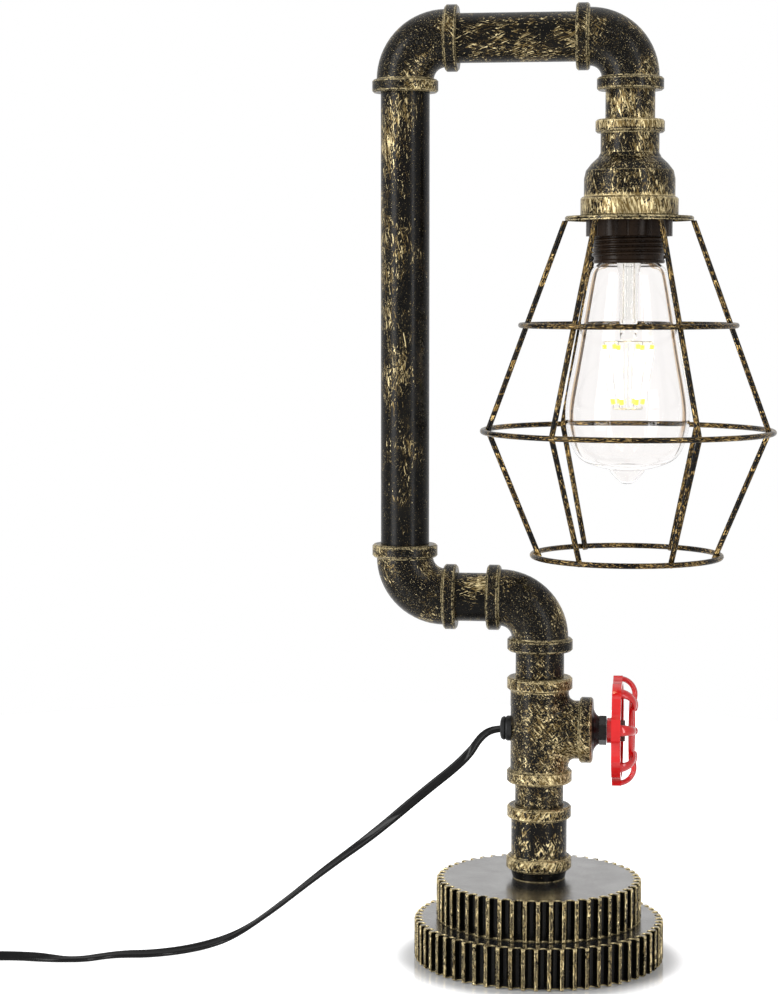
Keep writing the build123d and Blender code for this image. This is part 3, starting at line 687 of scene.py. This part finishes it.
# black between the teeth, gold on the lands and along the edges, satin grey on the flat faces
def gearPaint(name, tip, rough):
    n, shader, where = startMaterial(name)
    obj = where.outputs["Object"]
    parts = n.add("SeparateXYZ", Vector=obj)
    radius = n.vector("LENGTH", n.add("CombineXYZ", X=parts.outputs[0], Y=parts.outputs[1]).outputs[0])
    normal = n.add("SeparateXYZ", Vector=where.outputs["Normal"])
    upward = n.spread(n.math("ABSOLUTE", normal.outputs[2]), 0.75, 0.95)
    brush = useGroup(
        n, dryBrush, Vector=obj, Along=brushed(n, obj, (0, 0, 0), (1, 1, 0.3)),
        Across=brushed(n, obj, (0, 0, 0), (1, 1, 0.55)), Amount=0.54 - 0.05 * rough,
        Patchiness=0.6 + 0.4 * rough, **gearLook["brush"],
    )
    edges = useGroup(n, edgeWear, Vector=obj, Gaps=0.30 + 0.04 * rough, **gearLook["edges"])
    land = n.math("MULTIPLY", n.spread(radius, tip - 0.0014, tip - 0.0005), brush.outputs["Mask"])
    sides = n.math("SUBTRACT", 1.0, upward)
    foot = tip - gearLook["toothDepth"]
    rim = n.spread(radius, foot - 0.0012, foot + 0.0006)
    mask = n.math("MAXIMUM", n.math("MULTIPLY", land, sides), n.math("MULTIPLY", edges.outputs["Mask"], rim))
    smudge = n.noise(obj, 40.0, 4.0, 0.6).outputs[0]
    clean = n.spread(smudge, 0.3, 0.7)
    base = n.mix(upward, gearLook["space"], n.mix(clean, gearLook["greyDark"], gearLook["greyLight"]))
    tone = n.math("MAXIMUM", brush.outputs["Tone"], n.math("MULTIPLY", edges.outputs["Mask"], 0.7))
    colour = n.mix(tone, paint["goldDark"], paint["goldLight"])
    n.feed(shader, "Base Color", n.mix(mask, base, colour))
    n.feed(shader, "Metallic", n.math("MAXIMUM", mask, n.math("MULTIPLY", upward, gearLook["flatMetal"])))
    calm = n.mix(upward, 0.20, n.mix(clean, 0.24, 0.18, "FLOAT"), "FLOAT")
    n.feed(shader, "Roughness", n.mix(mask, calm, 0.40, "FLOAT"))
    shader.inputs["Specular IOR Level"].default_value = paint["blackGloss"]
    fine = n.noise(obj, 420.0, 2.0).outputs[0]
    relief = n.math("ADD", n.math("MULTIPLY", fine, 0.25 + 0.5 * rough), brush.outputs["Height"])
    n.relieve(shader, relief, *gearLook["relief"])
    return madeOf(n)


# a finish of one kind with the small variation that it has in life
def plainFinish(name, colour, second, roughness, metallic=0.0, scale=250.0, bump=0.1, coat=0.0, gloss=0.5):
    n, shader, where = startMaterial(name)
    obj = where.outputs["Object"]
    cloud = n.noise(obj, scale, 4.0, 0.6).outputs[0]
    n.feed(shader, "Base Color", n.mix(n.spread(cloud, 0.32, 0.68), colour, second))
    shader.inputs["Metallic"].default_value = metallic
    shader.inputs["Specular IOR Level"].default_value = gloss
    shader.inputs["Coat Weight"].default_value = coat
    shader.inputs["Coat Roughness"].default_value = 0.05
    shader.inputs["Coat IOR"].default_value = 1.5
    fine = n.noise(obj, scale * 3.1, 3.0).outputs[0]
    n.feed(shader, "Roughness", n.spread(fine, 0.25, 0.75, (roughness * 0.85, roughness * 1.15)))
    n.relieve(shader, fine, bump, 0.0002)
    return madeOf(n)


glassLook = {
    "tint": (0.988, 0.975, 0.968, 1),
    "stemTint": (0.97, 0.97, 0.96, 1),
    "shade": (0.99, 0.985, 0.98, 1),  # what its shadow lets through
    "line": (0.55, 0.36, 0.20, 1),  # painted reflection: the brown line that the wall shows just inside its outline, put into the glass's colour
    "lineFrom": (0.53, 0.58),  # how far from square the wall stands where the line begins and is full
    "lineTo": (0.62, 0.68),
    "lineFoot": (0.284, 0.298),  # height over which it comes in
    "ior": 1.22,
}


def clearGlass(name, tint, line):
    n, shader, where = startMaterial(name)
    shader.inputs["Transmission Weight"].default_value = 1.0
    shader.inputs["IOR"].default_value = glassLook["ior"]
    dust = n.noise(where.outputs["Object"], 60.0, 4.0).outputs[0]
    n.feed(shader, "Roughness", n.spread(dust, 0.4, 0.8, (0.0, 0.02)))
    haze = n.mix(n.spread(dust, 0.3, 0.7), tint, tuple(c * 0.99 for c in tint[:3]) + (1,))
    # painted reflection: where the wall is seen nearly edge-on, above the bulb's lowest part, the glass's
    # colour turns to the brown line
    if line:
        facing = n.add("LayerWeight", Blend=0.5).outputs["Facing"]
        rise, fall = n.spread(facing, *glassLook["lineFrom"]), n.spread(facing, *glassLook["lineTo"][::-1])
        paintedEdgeLine = n.math("MULTIPLY", rise, fall)
        height = n.add("SeparateXYZ", Vector=where.outputs["Object"]).outputs[2]
        paintedEdgeLine = n.math("MULTIPLY", paintedEdgeLine, n.spread(height, *glassLook["lineFoot"]))
        n.feed(shader, "Base Color", n.mix(paintedEdgeLine, haze, glassLook["line"]))
    else:
        n.feed(shader, "Base Color", haze)
    ray = n.add("LightPath")
    clear = n.add("BsdfTransparent", Color=glassLook["shade"])
    blend = n.add("MixShader")
    n.feed(blend, "0", n.math("MAXIMUM", ray.outputs["Is Shadow Ray"], ray.outputs["Is Diffuse Ray"]))
    n.feed(blend, "1", shader.outputs[0])
    n.feed(blend, "2", clear.outputs[0])
    out = next(node for node in n.tree.nodes if node.type == "OUTPUT_MATERIAL")
    n.feed(out, "Surface", blend.outputs[0])
    return madeOf(n)


filamentLook = {
    "upper": (0.3360, 0.3384),  # height where the yellow end begins and is full
    "lower": (0.3134, 0.3110),
    "rod": (1.0, 0.90, 0.62, 1),
    "rodGrain": (1.0, 0.80, 0.46, 1),
    "end": (0.046, 0.043, 0.004, 1),
    "unlit": ((0.9, 0.8, 0.5, 1), (0.8, 0.78, 0.05, 1)),  # the rod and its ends
    "strength": 22.0,
}


def litFilament(name):
    n, shader, where = startMaterial(name)
    obj = where.outputs["Object"]
    height = n.add("SeparateXYZ", Vector=obj).outputs[2]
    upper, lower = (n.spread(height, *filamentLook[k]) for k in ("upper", "lower"))
    ends = n.math("MAXIMUM", upper, lower)
    grain = n.noise(obj, 1500.0, 2.0).outputs[0]
    rod = n.mix(grain, filamentLook["rodGrain"], filamentLook["rod"])
    n.feed(shader, "Base Color", n.mix(ends, *filamentLook["unlit"]))
    n.feed(shader, "Emission Color", n.mix(ends, rod, filamentLook["end"]))
    shader.inputs["Emission Strength"].default_value = filamentLook["strength"]
    shader.inputs["Roughness"].default_value = 0.5
    return madeOf(n)


materials = {
    "pipeUp": paintedMetal("pipeUpPaint", ((0, 8, 0), (0, -20, 0)), squeeze=(1, 1, 0.06), second=(1, 1, 0.15),
                           fine=1400, amount=0.27, patch=38, patchiness=1.3, climb=[(0.30, 0.46, 0.19)],
                           fade=[(-0.074, -0.066, -0.20)], specks=0.24),
    "pipeAcross": paintedMetal("pipeAcrossPaint", ((0, 24, 0), (0, -14, 0)), squeeze=(0.08, 1, 1), fine=1250,
                               amount=0.35, patch=36, patchiness=1.8, sway=0.0020, specks=0.20),
    "nipple": paintedMetal("nipplePaint", ((0, 50, 0), (0, -40, 0)), squeeze=(1, 1, 0.2), amount=0.42,
                           patchiness=0.8, specks=0.32),
    "dropNipple": paintedMetal("dropNipplePaint", ((0, 20, 0), (0, -15, 0)), squeeze=(1, 1, 0.2), amount=0.56,
                               patch=90, patchiness=1.2, specks=0.36),
    "elbow": paintedMetal("elbowPaint", ((0, 45, 0), (0, -40, 0)), squeeze=(1, 1, 0.2), amount=0.33, patch=45,
                          patchiness=1.8, specks=0.33, cast=0.9),
    "tee": paintedMetal("teePaint", ((0, 40, 0), (0, -50, 0)), squeeze=(1, 1, 0.2), fine=1150, amount=0.34,
                        patch=50, patchiness=1.0, fade=[(-0.014, 0.016, 0.22)],
                        climb=[(0.1490, 0.1505, 0.20), (0.1065, 0.1050, 0.20)], specks=0.38, sway=0.0030,
                        cast=0.3),
    "coupling": paintedMetal("couplingPaint", ((0, -38, 0), (0, 26, 0)), squeeze=(1, 1, 0.07),
                             second=(1, 1, 0.2), fine=950, amount=0.02, patch=55, patchiness=1.3,
                             climb=[(0.0500, 0.0530, 0.44)], rim=[(0.0160, 0.0172, 0.24)], specks=0.2),
    "reducer": paintedMetal("reducerPaint", ((0, 14, 0), (0, -20, 0)), squeeze=(1, 1, 0.16), amount=0.46,
                            patch=60, patchiness=1.0, specks=0.36,
                            climb=[(0.4226, 0.4210, 0.30), (0.4560, 0.4575, 0.34)]),
    "wireRib": wirePaint("cageRibPaint", ring=False),
    "wireRing": wirePaint("cageRingPaint", ring=True),
    "plate": paintedMetal("cagePlatePaint", ((0, 0, 0), (0, 30, 0)), squeeze=(0.3, 0.3, 1), amount=0.46,
                          patch=120),
    "lowerGear": gearPaint("lowerGearPaint", tip=0.0691, rough=1.0),
    "upperGear": gearPaint("upperGearPaint", tip=0.0568, rough=0.3),
    "enamel": plainFinish("redEnamel", (0.70, 0.004, 0.006, 1), (0.80, 0.007, 0.009, 1), 0.25, coat=0.8,
                          scale=90, bump=0.08, gloss=0.1),
    "bonnet": plainFinish("bonnetBlack", (0.008, 0.0075, 0.007, 1), (0.014, 0.013, 0.011, 1), 0.30,
                          scale=300, gloss=0.2),
    "bakelite": plainFinish("bakelite", (0.012, 0.0065, 0.0036, 1), (0.021, 0.012, 0.0068, 1), 0.28,
                            scale=220, bump=0.06, gloss=0.09),
    "sheath": plainFinish("leadSheath", (0.003, 0.003, 0.003, 1), (0.006, 0.006, 0.006, 1), 0.20, scale=400,
                          bump=0.03, gloss=0.15),
    "plugPlastic": plainFinish("plugPlastic", (0.012, 0.012, 0.012, 1), (0.018, 0.018, 0.018, 1), 0.42,
                               scale=700, bump=0.25, gloss=0.3),
    "rubber": plainFinish("rubber", (0.009, 0.009, 0.009, 1), (0.016, 0.016, 0.016, 1), 0.42, scale=500,
                          bump=0.2, gloss=0.2),
    "steel": plainFinish("zincSteel", (0.42, 0.42, 0.43, 1), (0.56, 0.55, 0.54, 1), 0.34, metallic=1.0,
                         scale=300),
    "wheelNut": plainFinish("wheelNutPaint", (0.05, 0.022, 0.018, 1), (0.10, 0.035, 0.03, 1), 0.3,
                            metallic=0.4, scale=400),
    "brass": plainFinish("plainBrass", (0.60, 0.42, 0.16, 1), (0.72, 0.53, 0.24, 1), 0.3, metallic=1.0,
                         scale=300),
    "cap": plainFinish("capMetal", (0.60, 0.59, 0.56, 1), (0.75, 0.74, 0.71, 1), 0.25, metallic=1.0,
                       scale=300),
    "porcelain": plainFinish("porcelain", (0.72, 0.70, 0.64, 1), (0.78, 0.76, 0.70, 1), 0.2, coat=0.6,
                             scale=150),
    "blackGlass": plainFinish("blackGlass", (0.01, 0.01, 0.012, 1), (0.02, 0.02, 0.022, 1), 0.12, scale=200),
    "wireSteel": plainFinish("supportWire", (0.35, 0.33, 0.30, 1), (0.5, 0.47, 0.42, 1), 0.3, metallic=1.0,
                             scale=900),
    "glass": clearGlass("bulbGlass", glassLook["tint"], line=True),
    "stemGlass": clearGlass("stemGlass", glassLook["stemTint"], line=False),
    "filament": litFilament("litFilament"),
}
print("materials made:", len(materials))

finishes = {
    "pipeUp": ["column_pipe"],
    "pipeAcross": ["arm_pipe", "offset_nipple"],
    "nipple": ["lower_nipple", "upper_nipple", "base_nipple"],
    "dropNipple": ["drop_nipple"],
    "elbow": ["column_elbow", "top_elbow", "riser_elbow", "arm_elbow"],
    "tee": ["tee"],
    "coupling": ["base_coupling"],
    "reducer": ["reducer"],
    "wireRing": ["cage_ring_upper", "cage_ring_middle", "cage_ring_lower"],
    "wireRib": [f"cage_rib_{i}" for i in range(1, 7)],
    "plate": ["cage_plate"],
    "lowerGear": ["lower_gear"],
    "upperGear": ["upper_gear"],
    "enamel": ["handwheel"],
    "bonnet": ["dimmer_bonnet"],
    "bakelite": ["lampholder_shell", "shade_ring", "dimmer_body"],
    "sheath": ["cord", "cord_coil", "cord_tail", "inner_lead"],
    "rubber": ["base_pad", "cord_grommet", "plug_body"],
    "steel": [
        "base_washer", "base_lock_nut", "holder_bush", "holder_lock_nut", "holder_stud", "dimmer_spindle",
    ],
    "wheelNut": ["handwheel_nut"],
    "brass": ["screw_shell", "centre_contact", "bulb_contact", "plug_blades"],
    "cap": ["bulb_cap"],
    "porcelain": ["lampholder_insert"],
    "blackGlass": ["bulb_insulator"],
    "wireSteel": ["bulb_support_wires"],
    "glass": ["bulb_glass"],
    "stemGlass": ["bulb_stem"],
    "filament": ["bulb_filaments"],
}
for finish, names in finishes.items():
    for name in names:
        data = nodes[name].data
        data.materials.clear()
        data.materials.append(materials[finish])
print("finishes given to the nodes")

cord, cordPath = makeLead(materials["sheath"])
makePlug(materials["plugPlastic"])
print("lead made:", round(lead["step"] * (len(cordPath) - 1), 3), "m")
makeHolder(materials["bakelite"])
makeBulb(materials["glass"])
print("lampholder and bulb made")

studio = {
    "leftBox": {"azimuth": -50, "distance": 1.5, "size": (0.60, 2.1), "height": 0.40, "glow": 7.4},
    "rightBox": {"azimuth": 42, "distance": 1.5, "size": (0.26, 2.1), "height": 0.40, "glow": 8.6},
    "topBox": {"place": (0.0, 0.4, 2.1), "size": (1.8, 1.5), "glow": 0.8},
    "fill": 0.10,  # what lights the matt surfaces between the boxes
    "floorCentre": (-0.12, 0.05, 0.0),
    "floorRadius": 0.75,
    "floorGlow": (0.08, 0.85),  # glow beside the base and out in the open: painted light that whitens the floor and its shadow in the open, held low beside the base so that shade shows there
    "floorShadeRing": (0.070, 0.088),
    "floorColour": (0.80, 0.80, 0.80, 1),
    "floorRough": 0.07,
    "floorGloss": 1.0,
}


def addBox(name, place, target, size, glow):
    data = bpy.data.lights.new(name, "AREA")
    data.shape = "RECTANGLE"
    data.size, data.size_y = size
    data.energy = glow * math.pi * size[0] * size[1]
    light = bpy.data.objects.new(name, data)
    light.location = place
    light.rotation_euler = (Vector(target) - Vector(place)).to_track_quat("-Z", "Y").to_euler()
    bpy.context.scene.collection.objects.link(light)


def whiteFor(n):  # the rays that see the white background: the camera's, and those of metal, gloss and glass
    ray = n.add("LightPath")
    seen = n.math("MAXIMUM", ray.outputs["Is Camera Ray"], ray.outputs["Is Glossy Ray"])
    return n.math("MAXIMUM", seen, ray.outputs["Is Transmission Ray"])


def makeStudio():
    for name in ("leftBox", "rightBox"):
        box = studio[name]
        a = math.radians(box["azimuth"])
        place = (box["distance"] * math.sin(a), -box["distance"] * math.cos(a), box["height"])
        addBox(name, place, (0, 0, box["height"] - 0.1), box["size"], box["glow"])
    top = studio["topBox"]
    addBox("topBox", top["place"], (0, 0, 0), top["size"], top["glow"])
    world = bpy.data.worlds.new("studioWorld")
    bpy.context.scene.world = world
    world.use_nodes = True
    n = Nodes(world.node_tree)
    n.tree.nodes.clear()
    strength = n.mix(whiteFor(n), studio["fill"], 1.0, "FLOAT")
    glow = n.add("Background", Color=(1, 1, 1, 1), Strength=strength)
    n.feed(n.add("OutputWorld"), "0", glow.outputs[0])


def makeFloor():
    bm = bmesh.new()
    bmesh.ops.create_circle(bm, cap_ends=True, segments=96, radius=studio["floorRadius"])
    bmesh.ops.translate(bm, vec=studio["floorCentre"], verts=bm.verts)
    mesh = bpy.data.meshes.new("floor")
    bm.to_mesh(mesh)
    bm.free()
    floor = bpy.data.objects.new("floor", mesh)
    bpy.context.scene.collection.objects.link(floor)
    n, shader, where = startMaterial("whiteFloor")
    shader.inputs["Base Color"].default_value = studio["floorColour"]
    shader.inputs["Roughness"].default_value = studio["floorRough"]
    shader.inputs["Specular IOR Level"].default_value = studio["floorGloss"]
    # painted light: the floor glows more out in the open than beside the base, where its shade is left to
    # show
    away = n.vector("LENGTH", where.outputs["Object"])
    glow = n.spread(away, *studio["floorShadeRing"], studio["floorGlow"])
    shader.inputs["Emission Color"].default_value = (1, 1, 1, 1)
    n.feed(shader, "Emission Strength", n.math("MULTIPLY", whiteFor(n), glow))
    mesh.materials.append(madeOf(n))


makeStudio()
makeFloor()
bpy.context.scene.view_settings.view_transform = "Standard"
print("studio made")
